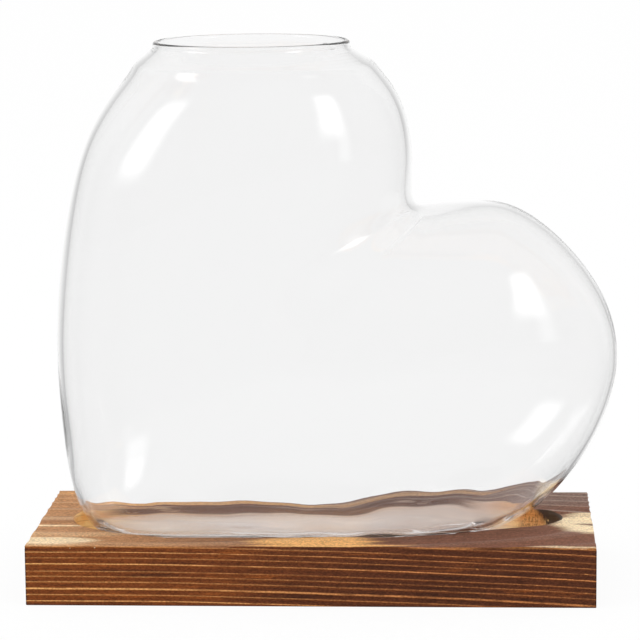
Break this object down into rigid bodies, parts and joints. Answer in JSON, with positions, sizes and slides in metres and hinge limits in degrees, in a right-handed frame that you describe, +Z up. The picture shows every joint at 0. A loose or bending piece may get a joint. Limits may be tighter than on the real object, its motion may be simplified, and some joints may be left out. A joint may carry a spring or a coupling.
{
  "type": "propagation vase",
  "caption": "Heart-shaped blown glass vessel with an open mouth on its taller lobe, standing in a seat carved in a rectangular dark wooden base.",
  "frame": {"origin": "centre of the wooden base's underside", "axes": "+Z up, +X along the base from the heart's heel towards its low lobe, +Y to the back, across the base"},
  "size_m": [0.1668, 0.078, 0.156],
  "materials": {
    "burnt_pine": "burnt and brushed pine with raised light rings, bare in the carved seat",
    "clear_glass": "clear fire-polished blown glass"
  },
  "bodies": {
    "base": {"wooden_base": "burnt_pine"},
    "vessel": {"glass_vessel": "clear_glass"}
  },
  "joints": [
    {"name": "glass_lift", "type": "slide", "parent": "base", "child": "vessel", "axis": [0, 0, 1], "range_m": [0, 0.08]}
  ]
}
